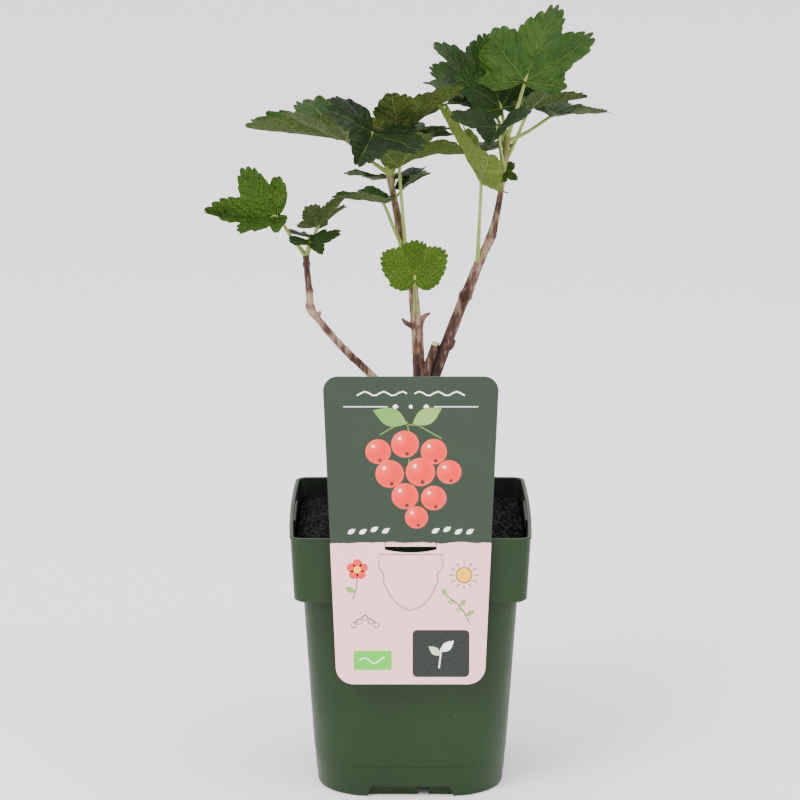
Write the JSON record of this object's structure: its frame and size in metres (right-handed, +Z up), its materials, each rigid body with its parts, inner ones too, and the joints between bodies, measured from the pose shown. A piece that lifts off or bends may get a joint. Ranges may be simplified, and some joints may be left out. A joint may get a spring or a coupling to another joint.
{
  "type": "potted currant bush",
  "caption": "Young currant bush with lobed leaves on slim woody stems, in a square green nursery pot with a hanging picture label hooked over the rim.",
  "frame": {"origin": "centre of the pot's underside", "axes": "+Z up, -Y front with the label, +X right seen from the front"},
  "size_m": [0.2175, 0.1468, 0.4189],
  "materials": {
    "pot_plastic": "smooth dark green moulded plastic",
    "potting_mix": "dark moist crumbly potting mix",
    "label_plastic": "thin printed plastic label",
    "bark": "grey-brown peeling bark",
    "foliage": "matt green leaves with pale veins"
  },
  "bodies": {
    "root": {"pot": "pot_plastic", "soil": "potting_mix", "label": "label_plastic", "main_stem": "bark", "right_stem": "bark", "left_stem": "bark", "left_branch": "bark", "cut_stub": "bark", "left_leaves": "foliage", "centre_leaves": "foliage", "low_leaf": "foliage", "right_leaves": "foliage", "long_leaf": "foliage"}
  },
  "joints": []
}
